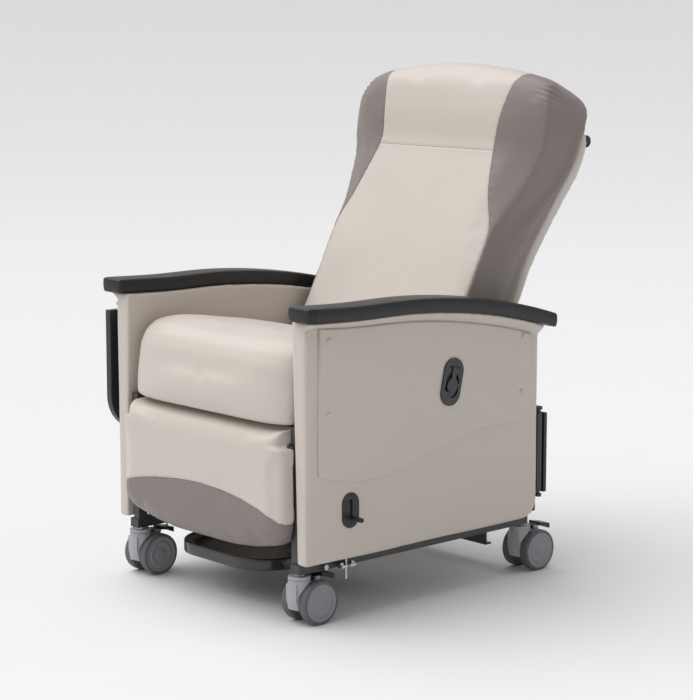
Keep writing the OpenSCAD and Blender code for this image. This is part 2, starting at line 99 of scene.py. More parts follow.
def normals(obj):
    n = np.empty(len(obj.data.vertices) * 3)
    obj.data.vertices.foreach_get("normal", n)
    return n.reshape(-1, 3)


# The back's own coordinates: x across, u up the back, n forward of the pivot
def to_back(a):
    y, z = a[:, 1] - BACK_PIVOT_Y, a[:, 2] - BACK_PIVOT_Z
    return np.stack([a[:, 0], y * SIN_LEAN + z * COS_LEAN, z * SIN_LEAN - y * COS_LEAN], 1)


def from_back(b):
    y = BACK_PIVOT_Y + b[:, 1] * SIN_LEAN - b[:, 2] * COS_LEAN
    z = BACK_PIVOT_Z + b[:, 1] * COS_LEAN + b[:, 2] * SIN_LEAN
    return np.stack([b[:, 0], y, z], 1)


def link(name, mesh):
    obj = bpy.data.objects.new(name, mesh)
    bpy.context.scene.collection.objects.link(obj)
    return obj


def make(name, points, faces, material=None):
    mesh = bpy.data.meshes.new(name)
    mesh.from_pydata([tuple(p) for p in world(points)], [], [list(f) for f in faces])
    bm = bmesh.new()
    bm.from_mesh(mesh)
    bmesh.ops.recalc_face_normals(bm, faces=bm.faces)
    bm.to_mesh(mesh)
    bm.free()
    mesh.polygons.foreach_set("use_smooth", [True] * len(mesh.polygons))
    if material:
        mesh.materials.append(MATERIALS[material])
    return link(name, mesh)


def bake(obj):
    graph = bpy.context.evaluated_depsgraph_get()
    mesh = bpy.data.meshes.new_from_object(obj.evaluated_get(graph), depsgraph=graph)
    old = obj.data
    obj.modifiers.clear()
    obj.data = mesh
    bpy.data.meshes.remove(old)
    mesh.polygons.foreach_set("use_smooth", [True] * len(mesh.polygons))
    return obj


def modify(obj, kind, **values):
    mod = obj.modifiers.new(kind.title(), kind)
    for key, value in values.items():
        setattr(mod, key, value)
    return bake(obj)


# Faces of a prism whose two ends have k corners each
def prism_faces(k):
    ends = [list(range(k)), list(range(2 * k - 1, k - 1, -1))]
    return ends + [[i, (i + 1) % k, (i + 1) % k + k, i + k] for i in range(k)]


# Closed block from a flat outline, stretched between two levels; order tells which way it stretches
def block(name, outline, lo, hi, order):
    points = [(a, b, c) for c in (lo, hi) for a, b in outline]
    points = [[p[order.index(axis)] for axis in "xyz"] for p in points]
    return make(name, points, prism_faces(len(outline)))


# Closed block from an outline in the back's coordinates, between two distances from the pivot
def back_block(name, outline, rear, front):
    flat = from_back(np.array([(x, u, n) for n in (rear, front) for x, u in outline]))
    return make(name, flat, prism_faces(len(outline)))


# Points of an arc from one angle to another, in degrees
def arc(x, y, r, start, end, step):
    angles = np.radians(np.arange(start, end, step))
    return [(x + r * math.cos(t), y + r * math.sin(t)) for t in angles]


# Even mesh over a closed shape, with its edges rounded by smoothing steps
def remesh(obj, voxel, steps):
    modify(obj, "REMESH", mode="VOXEL", voxel_size=voxel / 1000)
    modify(obj, "SMOOTH", factor=0.5, iterations=steps)


# Loft of closed rings, capped at both ends
def loft(name, rings, material=None):
    k = len(rings[0])
    points = [p for ring in rings for p in ring]
    faces = [[r * k + i, r * k + (i + 1) % k, (r + 1) * k + (i + 1) % k, (r + 1) * k + i]
             for r in range(len(rings) - 1) for i in range(k)]
    faces += [list(range(k)), [(len(rings) - 1) * k + i for i in range(k)][::-1]]
    return make(name, points, faces, material)


# Surface turned about an axis along X
def turned(name, profile, y, z, material, steps=56):
    rings = [[(x, y + r * math.cos(t), z + r * math.sin(t))
              for t in np.linspace(0, 2 * math.pi, steps, endpoint=False)] for x, r in profile]
    return loft(name, rings, material)


def join(name, objects):
    bm = bmesh.new()
    slots = []
    for o in objects:
        first = len(bm.faces)
        bm.from_mesh(o.data)
        bm.faces.ensure_lookup_table()
        own = [m for m in o.data.materials]
        for m in own:
            if m not in slots:
                slots.append(m)
        for f in bm.faces[first:]:
            f.material_index = slots.index(own[f.material_index]) if own else 0
    mesh = bpy.data.meshes.new(name)
    bm.to_mesh(mesh)
    bm.free()
    for m in slots:
        mesh.materials.append(m)
    for o in objects:
        bpy.data.objects.remove(o)
    return link(name, mesh)


# Smooth waves with no preferred direction, between -1 and 1
def ripple(a, length, seed):
    rng = np.random.default_rng(seed)
    total = np.zeros(len(a))
    for _ in range(9):
        d = rng.normal(size=3)
        d /= np.linalg.norm(d)
        total += np.sin(a @ d * (2 * math.pi / (length * rng.uniform(0.7, 1.4))) + rng.uniform(0, 6.28))
    return total / 4


def ease(t):
    t = np.clip(t, 0, 1)
    return t * t * (3 - 2 * t)


def push(obj, amount):
    write(obj, read(obj) + normals(obj) * np.asarray(amount)[:, None])


def fit(a, axis, lo, hi):
    low, high = a[:, axis].min(), a[:, axis].max()
    a[:, axis] = lo + (a[:, axis] - low) * (hi - lo) / (high - low)


# Fills a closed pad by pressure; the points in held stay where they are
def inflate(obj, cap, held):
    rest = read(obj)
    group = obj.vertex_groups.new(name="Held")
    group.add([int(i) for i in np.nonzero(held)[0]], 1.0, "REPLACE")
    scene = bpy.context.scene
    mod = obj.modifiers.new("Cloth", "CLOTH")
    mod.settings.vertex_group_mass = "Held"
    mod.settings.quality = 4
    mod.settings.mass = 0.4
    mod.settings.use_pressure = True
    mod.settings.uniform_pressure_force = 4.0
    mod.settings.effector_weights.gravity = 0
    mod.settings.tension_stiffness = 12
    mod.settings.compression_stiffness = 12
    mod.settings.bending_stiffness = 2
    mod.point_cache.frame_start = 1
    mod.point_cache.frame_end = 20
    for number in range(1, 21):
        scene.frame_set(number)
    bake(obj)
    scene.frame_set(1)
    moved = read(obj) - rest
    size = np.linalg.norm(moved, axis=1)[:, None] + 1e-6
    write(obj, rest + moved / size * cap * np.tanh(size / cap))
    modify(obj, "SMOOTH", factor=0.5, iterations=6)


# Adds edges along the line where across() is zero, so that colours can change there
def cut_along(obj, across):
    bm = bmesh.new()
    bm.from_mesh(obj.data)
    layer = bm.verts.layers.float.new("kept_x")
    s = across(np.array([v.co for v in bm.verts])) / 1000
    for v, amount in zip(bm.verts, s):
        v[layer] = v.co.x
        v.co.x = amount
    bmesh.ops.bisect_plane(bm, geom=bm.verts[:] + bm.edges[:] + bm.faces[:], dist=1e-6,
                           plane_co=(0, 0, 0), plane_no=(1, 0, 0))
    for v in bm.verts:
        v.co.x = v[layer]
    bm.verts.layers.float.remove(layer)
    bm.to_mesh(obj.data)
    bm.free()


def centres(obj):
    c = np.empty(len(obj.data.polygons) * 3)
    obj.data.polygons.foreach_get("center", c)
    c = c.reshape(-1, 3) * 1000
    c[:, 1] += CENTRE_Y
    return c


def paint(obj, materials, index):
    obj.data.materials.clear()
    for m in materials:
        obj.data.materials.append(MATERIALS[m])
    obj.data.polygons.foreach_set("material_index", np.asarray(index, dtype=np.int32))


# A CAD node's shape with softened edges
def softened(name, node, width, material):
    obj = link(name, frame["nodes"][node].data.copy())
    obj.data.materials.clear()
    obj.data.materials.append(MATERIALS[material])
    bm = bmesh.new()
    bm.from_mesh(obj.data)
    bmesh.ops.remove_doubles(bm, verts=bm.verts, dist=2e-5)
    bmesh.ops.dissolve_limit(bm, angle_limit=0.01, verts=bm.verts, edges=bm.edges)
    bm.to_mesh(obj.data)
    bm.free()
    for attribute in ("custom_normal", "sharp_edge", "sharp_face"):
        found = obj.data.attributes.get(attribute)
        if found:
            obj.data.attributes.remove(found)
    mod = obj.modifiers.new("Edges", "BEVEL")
    mod.width = width / 1000
    mod.segments = 2
    mod.limit_method = "ANGLE"
    mod.angle_limit = math.radians(35)
    mod.harden_normals = True
    return bake(obj)


def place(obj, body, slot, *nodes):
    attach(obj, body)
    if nodes:
        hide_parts(*nodes)
    return obj


# Procedural finishes
def finish(name, base, alt, rough, metal=0.0, grain=700.0, cells=False, bump=0.12, depth=0.00025,
           streak=None, coat=0.0, sheen=0.0, wood=False):
    m = bpy.data.materials.new(name)
    m.use_nodes = True
    tree = m.node_tree
    new, wire = tree.nodes.new, tree.links.new
    shader = tree.nodes["Principled BSDF"]
    shader.inputs["Metallic"].default_value = metal
    shader.inputs["Coat Weight"].default_value = coat
    shader.inputs["Coat Roughness"].default_value = 0.25
    shader.inputs["Sheen Weight"].default_value = sheen
    shader.inputs["Sheen Roughness"].default_value = 0.4
    coords = new("ShaderNodeTexCoord").outputs["Object"]
    if streak:
        mapping = new("ShaderNodeMapping")
        mapping.inputs["Scale"].default_value = streak
        wire(coords, mapping.inputs["Vector"])
        coords = mapping.outputs["Vector"]
    large = new("ShaderNodeTexNoise")
    large.inputs["Scale"].default_value = 9.0
    large.inputs["Detail"].default_value = 4.0
    wire(coords, large.inputs["Vector"])
    colour_driver = large.outputs["Fac"]
    if wood:
        rings = new("ShaderNodeTexWave")
        rings.inputs["Scale"].default_value = 14.0
        rings.inputs["Distortion"].default_value = 5.0
        rings.inputs["Detail"].default_value = 3.0
        wire(coords, rings.inputs["Vector"])
        colour_driver = rings.outputs["Fac"]
    mix = new("ShaderNodeMix")
    mix.data_type = "RGBA"
    mix.inputs["A"].default_value = (*base, 1)
    mix.inputs["B"].default_value = (*alt, 1)
    wire(colour_driver, mix.inputs["Factor"])
    wire(mix.outputs["Result"], shader.inputs["Base Color"])
    fine = new("ShaderNodeTexNoise")
    fine.inputs["Scale"].default_value = grain
    fine.inputs["Detail"].default_value = 3.0
    wire(coords, fine.inputs["Vector"])
    height = fine.outputs["Fac"]
    if cells:
        pebble = new("ShaderNodeTexVoronoi")
        pebble.feature = "SMOOTH_F1"
        pebble.inputs["Scale"].default_value = grain
        wire(coords, pebble.inputs["Vector"])
        both = new("ShaderNodeMath")
        both.operation = "MULTIPLY_ADD"
        both.inputs[1].default_value = 0.35
        wire(fine.outputs["Fac"], both.inputs[0])
        wire(pebble.outputs["Distance"], both.inputs[2])
        height = both.outputs[0]
    relief = new("ShaderNodeBump")
    relief.inputs["Strength"].default_value = bump
    relief.inputs["Distance"].default_value = depth
    wire(height, relief.inputs["Height"])
    wire(relief.outputs["Normal"], shader.inputs["Normal"])
    wear = new("ShaderNodeTexNoise")
    wear.inputs["Scale"].default_value = 28.0
    wear.inputs["Detail"].default_value = 5.0
    wire(coords, wear.inputs["Vector"])
    ramp = new("ShaderNodeMapRange")
    ramp.inputs["To Min"].default_value = rough - 0.06
    ramp.inputs["To Max"].default_value = rough + 0.06
    wire(wear.outputs["Fac"], ramp.inputs["Value"])
    wire(ramp.outputs["Result"], shader.inputs["Roughness"])
    MATERIALS[name] = m


# Repeats an item along a line, or at each point of it, by Geometry Nodes
def repeat_tree(name, along):
    tree = bpy.data.node_groups.new(name, "GeometryNodeTree")
    sockets = {}
    for label, kind in (("Line", "NodeSocketGeometry"), ("Item", "NodeSocketObject"),
                        ("Spacing", "NodeSocketFloat"), ("Facing", "NodeSocketVector"),
                        ("Finish", "NodeSocketMaterial")):
        sockets[label] = tree.interface.new_socket(label, in_out="INPUT", socket_type=kind)
    tree.interface.new_socket("Result", in_out="OUTPUT", socket_type="NodeSocketGeometry")
    new, wire = tree.nodes.new, tree.links.new
    start, end = new("NodeGroupInput"), new("NodeGroupOutput")
    item = new("GeometryNodeObjectInfo")
    wire(start.outputs["Item"], item.inputs["Object"])
    turn = new("FunctionNodeAlignRotationToVector")
    source = start.outputs["Line"]
    if along:
        turn.axis = "X"
        curve = new("GeometryNodeMeshToCurve")
        wire(source, curve.inputs["Mesh"])
        sample = new("GeometryNodeResampleCurve")
        sample.mode = "LENGTH"
        wire(curve.outputs["Curve"], sample.inputs["Curve"])
        wire(start.outputs["Spacing"], sample.inputs["Length"])
        tangent = new("GeometryNodeInputTangent")
        wire(tangent.outputs[0], turn.inputs["Vector"])
        source = sample.outputs["Curve"]
    else:
        turn.axis = "Z"
        wire(start.outputs["Facing"], turn.inputs["Vector"])
    instances = new("GeometryNodeInstanceOnPoints")
    wire(source, instances.inputs["Points"])
    wire(item.outputs["Geometry"], instances.inputs["Instance"])
    wire(turn.outputs["Rotation"], instances.inputs["Rotation"])
    real = new("GeometryNodeRealizeInstances")
    wire(instances.outputs["Instances"], real.inputs["Geometry"])
    material = new("GeometryNodeSetMaterial")
    wire(real.outputs["Geometry"], material.inputs["Geometry"])
    wire(start.outputs["Finish"], material.inputs["Material"])
    wire(material.outputs["Geometry"], end.inputs["Result"])
    return tree, {k: s.identifier for k, s in sockets.items()}


def repeat(name, lines, item, finish_name, spacing=0.0, facing=None):
    along = facing is None
    key = "Repeat along line" if along else "Repeat at points"
    points, edges = [], []
    for line in lines:
        first = len(points)
        points += list(line)
        if along:
            edges += [(first + i, first + i + 1) for i in range(len(line) - 1)]
    mesh = bpy.data.meshes.new(name)
    mesh.from_pydata([tuple(p) for p in world(points)], edges, [])
    obj = link(name, mesh)
    tree, ids = repeat_tree(key, along)
    mod = obj.modifiers.new("Repeat", "NODES")
    mod.node_group = tree
    mod[ids["Item"]] = item
    mod[ids["Spacing"]] = spacing
    mod[ids["Facing"]] = facing or (0.0, 0.0, 1.0)
    mod[ids["Finish"]] = MATERIALS[finish_name]
    return bake(obj)


# Items that are repeated; each is made at the origin and removed at the end
def stitch_item(length, radius):
    rings = []
    for t in np.linspace(0, math.pi, 7):
        r = radius * max(math.sin(t), 0.05)
        x = -length / 2 * math.cos(t)
        rings.append([(x, CENTRE_Y + r * math.cos(q), r * math.sin(q))
                      for q in np.linspace(0, math.tau, 8, endpoint=False)])
    return loft("stitch_item", rings)


def cap_item(radius, height, dish):
    rings = []
    profile = ((0.98, -0.4), (1, 0.35), (0.96, 0.62), (0.84, 0.88), (0.6, 1.0),
               (0.42, 1.0 - dish), (0.06, 1.0 - dish))
    for r, z in profile:
        rings.append([(r * radius * math.cos(q), CENTRE_Y + r * radius * math.sin(q), z * height)
                      for q in np.linspace(0, math.tau, 28, endpoint=False)])
    return loft("cap_item", rings)


def drop(item):
    bpy.data.objects.remove(item)


# Points of a path lifted onto a surface along a direction
def on_surface(obj, points, direction, lift):
    tree = BVHTree.FromObject(obj, bpy.context.evaluated_depsgraph_get())
    d = Vector(direction).normalized()
    found = []
    for p in world(points):
        hit = tree.ray_cast(Vector(p) - d * 0.3, d)
        if hit[0] is not None:
            q = (hit[0] - d * (lift / 1000)) * 1000
            found.append((q.x, q.y + CENTRE_Y, q.z))
    return found


# Shared outlines
# Height of the armrest's top: level at the front, falling away to the rear
def armrest_top(y):
    t = np.clip((y + 396) / 770, 0, 1.03)
    return ARMREST_Z - 80 * t ** 3 - 6 * np.exp(-((t - 0.2) / 0.17) ** 2)


# Gap between the armrest and the side cover's top edge
def cover_gap(y):
    return 15 + 14 * np.clip((y + 343) / 660, 0, 1) ** 0.7


# Lower edge of the side cover, one slow wave
def cover_wave(y):
    if y < -190:
        return 315 + 26 * ((-190 - y) / 153) ** 2
    return 351 - 36 * math.cos(math.pi * (y + 190) / 400)


def between(x, xs, ys):
    return np.interp(x, xs, ys)


# The seam and the ridge of the wings, and the depth of the ridge and of the face, up the back
SEAM_U = [0, 373, 400, 424, 457, 491, 524, 559, 592, 623, 652, 681, 712, 743, 781, 830]
SEAM_X = [267, 267, 264, 256, 241, 228, 218, 209, 201, 197, 199, 203, 209, 216, 225, 236]
RIDGE_U = [-30, 373, 422, 471, 518, 566, 608, 646, 684, 724, 830]
RIDGE_X = [280, 280, 289, 302, 314, 326, 337, 341, 340, 337, 332]
RIDGE_N = [88, 87, 80, 72, 68, 66, 73, 86, 99, 108, 114]
FACE_U = [-30, 592, 623, 652, 681, 712, 743, 781, 830]
FACE_N = [94, 94.5, 99, 109, 118, 124, 129, 132, 132]


def soft_curve(x, xs, ys):
    span = 9.0
    return sum(between(x + d, xs, ys) for d in (-span, -span / 2, 0, span / 2, span)) / 5


# Top edge of the back, a shallow arch
def back_top(x):
    return 826 - 41 * (np.abs(x) / 310) ** 2


# Pads
def build_seat():
    profile = [(-399, 449), (-330, 449), (-330, 460), (48, 460), (102, 556), (0, 583), (-120, 607),
               (-240, 626), (-320, 636), (-358, 632), (-388, 612), (-404, 580), (-411, 500), (-408, 458)]
    obj = block("seat_pad", profile, -289, 289, "yzx")
    remesh(obj, 7, 10)
    a = read(obj)
    across = np.abs(a[:, 0]) / 289
    high = ease((a[:, 2] - 500) / 110)
    a[:, 2] -= 9 * across ** 5 * high
    a[:, 1] += 38 * across ** 7 * ease((-250 - a[:, 1]) / 120)
    write(obj, a)
    push(obj, np.full(len(a), -4.0))
    a = read(obj)
    inflate(obj, 9, (a[:, 2] < 465) | (a[:, 1] > 40))
    a = read(obj)
    fit(a, 0, -290, 290)
    fit(a, 1, -413, 104)
    fit(a, 2, 448, 640)
    write(obj, a)
    modify(obj, "SUBSURF", levels=1, render_levels=1)
    a = read(obj)
    front = ease((-340 - a[:, 1]) / 40)
    seam = np.exp(-((np.abs(a[:, 0]) - 272) / 3.0) ** 2) * ease((a[:, 2] - 480) / 60)
    sag = ripple(a, 260, 4) * 0.8 + ripple(a * [1, 1, 2.4], 85, 5) * 0.2 * front
    push(obj, sag - 1.0 * seam * (1 - front))
    paint(obj, ["vinyl_light"], np.zeros(len(obj.data.polygons)))
    place(obj, "base", "vinyl_light", "seat_cushion")


def build_legrest():
    edge = [(x, float(legrest_edge(x))) for x in np.linspace(-LEGREST_HALF, LEGREST_HALF, 61)]
    top = LEGREST_Z + 38
    outline = edge + [(LEGREST_HALF, top), (-LEGREST_HALF, top)]
    obj = block("legrest_pad", outline, LEGREST_Y - 38, LEGREST_REAR, "xzy")
    remesh(obj, 6, 6)
    a = read(obj)
    depth = np.clip((LEGREST_REAR - a[:, 1]) / 74, 0, 1)
    rise = np.clip((a[:, 2] - LEGREST_Z) / 38, 0, 1)
    face = LEGREST_Y - 38 * (1 - 0.97 * rise ** 2.7) ** (1 / 2.7)
    low = np.clip(1 - (a[:, 2] - legrest_edge(a[:, 0])) / 50, 0, 1)
    side = np.clip((np.abs(a[:, 0]) - 258) / 21, 0, 1)
    front = face + 20 * (1 - np.sqrt(1 - low ** 2)) + 13 * (1 - np.sqrt(1 - side ** 2))
    a[:, 1] = LEGREST_REAR + (front - LEGREST_REAR) * depth
    write(obj, a)
    push(obj, np.full(len(a), -3.0))
    a = read(obj)
    inflate(obj, 6, a[:, 1] > -350)
    a = read(obj)
    fit(a, 0, -280.5, 280.5)
    fit(a, 1, -416, -335)
    fit(a, 2, 147, 441)
    write(obj, a)
    cut_along(obj, lambda p: p[:, 2] * 1000 - legrest_wave(p[:, 0] * 1000))
    modify(obj, "SUBSURF", levels=1, render_levels=1)
    # In front of the uprights the leg rest is wider
    a = read(obj)
    a[:, 0] *= 1 + 0.075 * ease((409 - a[:, 2]) / 13) * ease((-369 - a[:, 1]) / 3.5)
    write(obj, a)
    off = np.abs(a[:, 2] - legrest_wave(a[:, 0]))
    near_front = ease((-355 - a[:, 1]) / 20)
    pucker = np.exp(-(off / 22) ** 2) * np.sin(a[:, 0] / 5.5 + 2 * ripple(a, 60, 7)) * 0.35
    push(obj, near_front * (-2.0 * np.exp(-(off / 2.6) ** 2) + pucker) + ripple(a, 190, 8) * 0.8)
    c = centres(obj)
    paint(obj, ["vinyl_light", "vinyl_taupe"], c[:, 2] < legrest_wave(c[:, 0]))
    place(obj, "legrest", "vinyl_light", "legrest_cushion")
    return on_surface(obj, [(x, -380, legrest_wave(x)) for x in np.linspace(-276, 276, 150)], (0, 1, 0), 0.0)


# Lower edge of the leg rest, with rounded corners
def legrest_edge(x):
    corner = np.clip((np.abs(x) - 238) / 42, 0, 1)
    return 147 + 38 * (np.abs(x) / 279) ** 3 + 30 * (1 - np.sqrt(1 - corner ** 2))


# Seam between the leg rest's two colours
def legrest_wave(x):
    return soft_curve(x, [-300, -264, -210, -155, -70, -20, 13, 93, 168, 230, 260, 300],
                      [238, 249, 262, 271, 281, 284, 285, 281, 271, 257, 247, 228])


def build_back():
    right = [(between(u, RIDGE_U, RIDGE_X), u) for u in np.arange(-24, 715, 18)]
    corner_x, r = 268.0, 62.0
    corner_u = float(back_top(corner_x)) - r
    right += arc(corner_x, corner_u, r, 0, 90, 9)
    top = [(x, float(back_top(x))) for x in np.arange(260, -261, -20)]
    outline = right + top + [(-x, u) for x, u in right[::-1]]
    obj = back_block("back_pad", outline, -42, 140)
    remesh(obj, 8, 12)
    b = to_back(read(obj))
    fit(b, 0, -341, 341)
    fit(b, 1, -24, 836)
    fit(b, 2, -42, 140)
    x, u = np.abs(b[:, 0]), b[:, 1]
    seam = soft_curve(u, SEAM_U, SEAM_X)
    ridge = soft_curve(u, RIDGE_U, RIDGE_X)
    out = np.clip((x - seam) / np.maximum(ridge - seam, 14), 0, 1)
    face = soft_curve(u, FACE_U, FACE_N)
    front = face - (face - soft_curve(u, RIDGE_U, RIDGE_N)) * out ** 1.5 * np.clip((ridge - seam) / 40, 0, 1)
    e = np.clip(1 - (back_top(x) + 10 - u) / 58, 0, 1)
    front = front - 44 * (1 - np.sqrt(1 - e ** 2))
    rear_e = np.clip(1 - (back_top(x) + 10 - u) / 30, 0, 1)
    rear = -42 - back_extra(u) + 46 * (1 - np.sqrt(1 - rear_e ** 2))
    share = np.clip((b[:, 2] + 42) / 182, 0, 1)
    b[:, 2] = rear + (front - rear) * share
    write(obj, from_back(b))
    push(obj, np.full(len(b), -3.0))
    b = to_back(read(obj))
    inflate(obj, 7, (b[:, 2] < -25) | (b[:, 1] < 60))
    b = to_back(read(obj))
    fit(b, 1, -24, 842)
    fit(b, 0, -341, 341)
    write(obj, from_back(b))
    for side in (1, -1):
        cut_along(obj, lambda p, s=side: s * p[:, 0] * 1000 - seam_at(p))
    modify(obj, "SUBSURF", levels=1, render_levels=1)
    a = read(obj)
    b = to_back(a)
    x, u, n = np.abs(b[:, 0]), b[:, 1], b[:, 2]
    off = np.abs(x - soft_curve(u, SEAM_U, SEAM_X))
    face = ease((n - 30) / 30)
    line = np.exp(-(off / 2.0) ** 2) * face
    head = np.exp(-((u - 600) / 2.0) ** 2) * face * (x < soft_curve(u, SEAM_U, SEAM_X))
    pull = np.exp(-(off / 20) ** 2) * face * np.sin(u / 5 + 2 * ripple(a, 50, 3)) * 0.25
    corner = np.exp(-(((x - 318) / 26) ** 2 + ((u - 756) / 27) ** 2 + ((n - 94) / 30) ** 2))
    gather = corner * (np.sin(u / 2.2 + 0.8 * ripple(a, 45, 11)) * 1.9 - 2.0)
    soft = ripple(a, 260, 12) * 1.2 + ripple(a, 90, 13) * 0.4 * ease((x - 200) / 60)
    push(obj, soft + gather + pull - 1.8 * line - 1.4 * head)
    c = to_back(centres(obj))
    wing = np.abs(c[:, 0]) > soft_curve(c[:, 1], SEAM_U, SEAM_X)
    paint(obj, ["vinyl_light", "vinyl_taupe"], wing)
    place(obj, "back", "vinyl_light", "back_cushion", "back_wing_left", "back_wing_right")
    forward = (0, COS_LEAN, -SIN_LEAN)
    us = np.linspace(30, 812, 300)
    lines = []
    for side in (1, -1):
        path = from_back(np.array([(side * soft_curve(v, SEAM_U, SEAM_X), v, 130) for v in us]))
        lines.append(on_surface(obj, path, forward, 0.1))
    path = from_back(np.array([(w, 600, 130) for w in np.linspace(-198, 198, 130)]))
    lines.append(on_surface(obj, path, forward, 0.0))
    return lines


def back_extra(u):
    return 17 * ease((600 - u) / 300) * ease((u - 40) / 120)


def seam_at(p):
    a = p * 1000
    a[:, 1] += CENTRE_Y
    return soft_curve(to_back(a)[:, 1], SEAM_U, SEAM_X)


def build_back_shell():
    us = np.arange(-24, 690, 16)
    right = [(float(soft_curve(u, RIDGE_U, RIDGE_X)) - 5, u) for u in us]
    corner_x, r = 280.0, 52.0
    corner_u = 690.0
    right += arc(corner_x, corner_u, r, 0, 91, 10)
    outline = right + [(-x, u) for x, u in right[::-1]]
    obj = back_block("back_shell_cover", outline, -70, -40)
    remesh(obj, 6, 10)
    b = to_back(read(obj))
    e = np.clip((b[:, 1] - 640) / 104, 0, 1)
    share = np.clip((-40 - b[:, 2]) / 30, 0, 1)
    b[:, 2] = -40 - back_extra(b[:, 1]) - share * (4 + 27 * np.sqrt(1 - e ** 2))
    write(obj, from_back(b))
    a = read(obj)
    push(obj, ripple(a, 260, 21) * 0.7 - 0.3)
    paint(obj, ["vinyl_light"], np.zeros(len(obj.data.polygons)))
    place(obj, "back", "vinyl_light", "back_shell")


# Arms
# Folds in the panel's cover: radius, upper end, lower end
FOLDS = ((2.2, (344, -366, 652), (344, -367, 300)), (2.0, (344, -358, 662), (344, -359, 380)),
         (1.6, (344, -350, 655), (344, -351, 440)), (5.0, (345.5, -344, 676), (343, -378, 642)),
         (3.4, (346, -350, 684), (343, -381, 655)))


def build_arm_panel(side):
    label = "left" if side > 0 else "right"
    outline = [(-379, 141), (316, 141)]
    outline += arc(316, 186, 45, -75, 1, 15)
    outline += [(y, armrest_top(y) - ARMREST_DEPTH - 0.4) for y in np.linspace(361, -379, 24)]
    obj = block("arm_panel_skin_" + label, outline, 300, PANEL_X, "yzx")
    remesh(obj, 5, 5)
    a = read(obj)
    # The inner face leans outwards to the bottom, and the outer face flares out under the armrest
    inner = 314 - 16 * (a[:, 2] - 141) / 547
    share = (a[:, 0] - 300) / (PANEL_X - 300)
    top = armrest_top(a[:, 1]) - ARMREST_DEPTH - 0.4
    flare = 22 * ease(1 - (top - a[:, 2] - 1) / (cover_gap(a[:, 1]) - 1)) * ease(share)
    a[:, 0] = inner + (PANEL_X - inner) * share + flare
    write(obj, a)
    small = ripple(a * [1, 1, 0.5], 46, 32) * 0.25 * ease((a[:, 2] - 560) / 90)
    push(obj, ripple(a, 230, 31) * 0.6 + small)
    if side < 0:
        a = read(obj)
        a[:, 0] *= -1
        write(obj, a)
        obj.data.flip_normals()
    paint(obj, ["vinyl_light"], np.zeros(len(obj.data.polygons)))
    place(obj, "arm_" + label, "vinyl_light", "arm_panel_" + label)
    build_folds(side, label)


def build_folds(side, label):
    folds = []
    for n, (r, start, end) in enumerate(FOLDS):
        start, end = np.array(start), np.array(end)
        rings = []
        for t in np.linspace(0, 1, 25):
            x, y, z = start + (end - start) * t + [0, 1.2 * math.sin(9 * t + n), 0]
            fullness = min(1, t * 2.2 if t < 0.45 else 1.82 * (1 - t))
            size = r * max(0.12, math.sin(math.pi * fullness) ** 0.7)
            rings.append([(side * (x + 0.8 * size * math.cos(k) - 0.3 * r), y + size * math.sin(k), z)
                          for k in np.linspace(0, math.tau, 12, endpoint=False)])
        folds.append(loft("fold_%d" % n, rings, "vinyl_light"))
    place(join("panel_folds_" + label, folds), "arm_" + label, "vinyl_light")


def build_side_cover(side):
    label = "left" if side > 0 else "right"
    outline = [(y, cover_wave(min(y, 210))) for y in np.arange(-343, 288, 9)]
    outline += arc(287, 432, 45, -80, 1, 8)
    outline += [(y, armrest_top(y) - ARMREST_DEPTH - cover_gap(y)) for y in np.linspace(332, -343, 60)]
    p = np.array(outline)
    d = np.roll(p, -1, 0) - np.roll(p, 1, 0)
    inward = np.stack([-d[:, 1], d[:, 0]], 1) / np.linalg.norm(d, axis=1)[:, None]
    # Rounded edge: inset from the outline, distance out
    rim = ((0.6, 343.6), (-0.4, 345.2), (-0.3, 346.8), (0.5, 348.2), (1.8, 349.0), (3.4, 349.3),
           (5.2, 349.35))
    rings = [[(side * x, y, z) for y, z in p + inward * inset] for inset, x in rim]
    obj = loft("side_cover_skin_" + label, rings)
    paint(obj, ["vinyl_light"], np.zeros(len(obj.data.polygons)))
    place(obj, "arm_" + label, "vinyl_light", "side_cover_" + label)


# Half of the armrest's section: share of the half width, share of the depth from the top
ARMREST_SECTION = ((1, 0.30), (0.985, 0.12), (0.93, 0.03), (0.86, 0), (0.5, -0.02))
ARMREST_UNDERSIDE = ((-1, 0.58), (-0.985, 0.66), (-0.9, 0.97), (-0.86, 1))


def build_armrest(side):
    label = "left" if side > 0 else "right"
    section = [*ARMREST_SECTION, (0, -0.03), *[(-x, z) for x, z in ARMREST_SECTION[::-1]],
               *ARMREST_UNDERSIDE, (0, 1), *[(-x, z) for x, z in ARMREST_UNDERSIDE[::-1]]]
    rings = []
    ys = np.concatenate([np.linspace(-398, -370, 12), np.linspace(-355, 350, 60), np.linspace(358, 392, 14)])
    for y in ys:
        end = min(y + 398, 392 - y)
        outer_half = ARMREST_HALF - 13 * max(0, 1 - end / (20 if y < 0 else 12)) ** 1.2
        inner_half = ARMREST_HALF - 3 * max(0, 1 - end / 8) ** 1.6
        lip = 4.0 * max(0, 1 - end / 7) ** 2 if y < 0 else 13 * max(0, 1 - end / 13) ** 2
        top, low = armrest_top(y) - lip, armrest_top(y) - ARMREST_DEPTH + lip
        rings.append([(side * (ARMREST_X + (outer_half if x > 0 else inner_half) * x), y,
                       top + (low - top) * z) for x, z in section])
    obj = loft("armrest_pad_" + label, rings, "urethane")
    modify(obj, "SUBSURF", levels=1, render_levels=1)
    place(obj, "arm_" + label, "armrest_urethane", "armrest_" + label)


